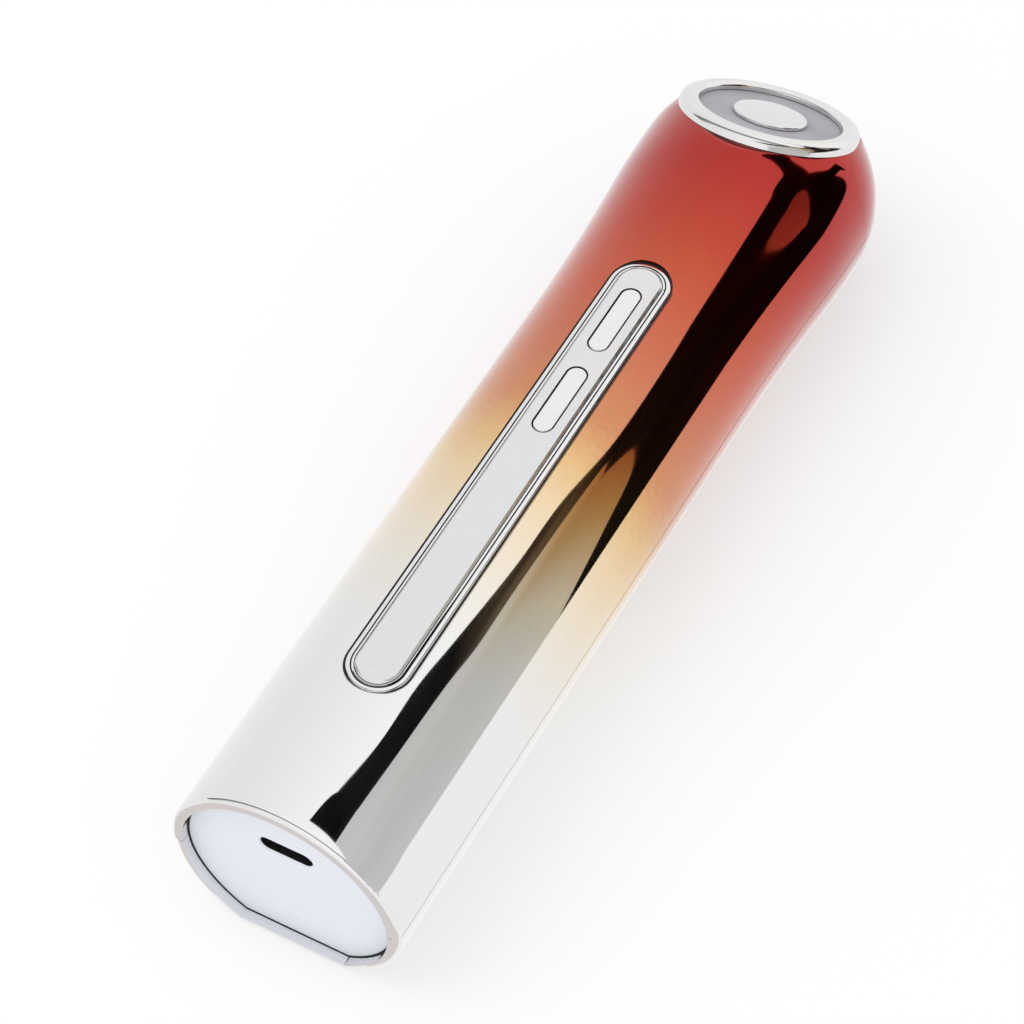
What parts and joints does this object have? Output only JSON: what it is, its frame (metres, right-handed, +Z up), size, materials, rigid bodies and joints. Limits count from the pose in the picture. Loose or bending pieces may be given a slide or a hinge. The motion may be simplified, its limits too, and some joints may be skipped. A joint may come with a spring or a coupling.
{
  "type": "led facial massager",
  "caption": "Wand-shaped facial massager with a mirror-plated body, a long control panel with two keys, and a tilted electrode ring round a light window.",
  "frame": {"origin": "centre of the bounding box, on the flat back that the wand rests on", "axes": "+Y from the charging end to the head, +Z up from the flat back through the control panel, +X across"},
  "size_m": [0.0452, 0.186, 0.0405],
  "materials": {
    "plating": "mirror plating on plastic, silver at the charging end, gold in the middle, copper red towards the head",
    "end_white": "pale bluish white, smooth satin",
    "steel": "bright rolled steel",
    "black_plastic": "moulded, black",
    "bezel_silver": "bright silver plating on plastic",
    "plate_silver": "satin silver",
    "key_silver": "pale silver, smooth satin",
    "board_green": "glass fibre board with green solder mask",
    "ribbon_amber": "polyimide film",
    "electrode_chrome": "satin chrome plating",
    "seal_black": "moulded, black",
    "window_grey": "frosted diffuser, matt grey",
    "disc_chrome": "bright chrome plating",
    "brass": "plain turned brass",
    "led_white": "clear lens on a white package",
    "frame_grey": "moulded, dark grey, fine texture",
    "ferrite": "sintered ferrite, dark grey",
    "winding_tape": "yellow winding tape over copper",
    "can_aluminium": "aluminium can in a blue film sleeve",
    "capacitor_can": "bright aluminium can",
    "foam": "closed-cell foam, black",
    "wire_red": "soft insulation, red"
  },
  "bodies": {
    "housing": {"front_shell": "plating", "back_cover": "plating", "end_plate": "end_white", "usb_shell": "steel", "usb_tongue": "black_plastic", "panel_bezel": "bezel_silver", "panel_plate": "plate_silver", "power_switch": "steel", "mode_switch": "steel", "key_board": "board_green", "key_board_screws": "steel", "key_flex": "ribbon_amber", "electrode_ring": "electrode_chrome", "ring_seal": "seal_black", "led_window": "window_grey", "window_gasket": "seal_black", "centre_electrode": "disc_chrome", "electrode_nut": "brass", "led_board": "board_green", "leds": "led_white", "ring_contacts": "brass", "head_carrier": "frame_grey", "head_screws": "steel", "head_flex": "ribbon_amber", "main_board": "board_green", "processor_chip": "black_plastic", "boost_inductor": "ferrite", "pulse_transformer": "winding_tape", "board_capacitors": "capacitor_can", "board_screws": "steel", "chassis": "frame_grey", "chassis_screws": "steel", "battery_cell": "can_aluminium", "battery_tabs": "steel", "battery_pad": "foam", "motor_can": "steel", "motor_sleeve": "seal_black", "motor_leads": "wire_red"},
    "power_key": {"power_button": "key_silver", "power_plunger": "black_plastic"},
    "mode_key": {"mode_button": "key_silver", "mode_plunger": "black_plastic"},
    "rotor": {"motor_shaft": "steel", "motor_weight": "steel"}
  },
  "joints": [
    {"name": "power_press", "type": "slide", "parent": "housing", "child": "power_key", "axis": [0, 0.0059, -1], "range_m": [0, 0.00035], "stiffness_N_per_m": 3000, "springref_m": -0.0003},
    {"name": "mode_press", "type": "slide", "parent": "housing", "child": "mode_key", "axis": [0, 0.0059, -1], "range_m": [0, 0.00035], "stiffness_N_per_m": 3000, "springref_m": -0.0003},
    {"name": "motor_spin", "type": "hinge", "parent": "housing", "child": "rotor", "pos_m": [0, 0.059, 0.00745], "axis": [0, 1, 0], "continuous": true}
  ]
}
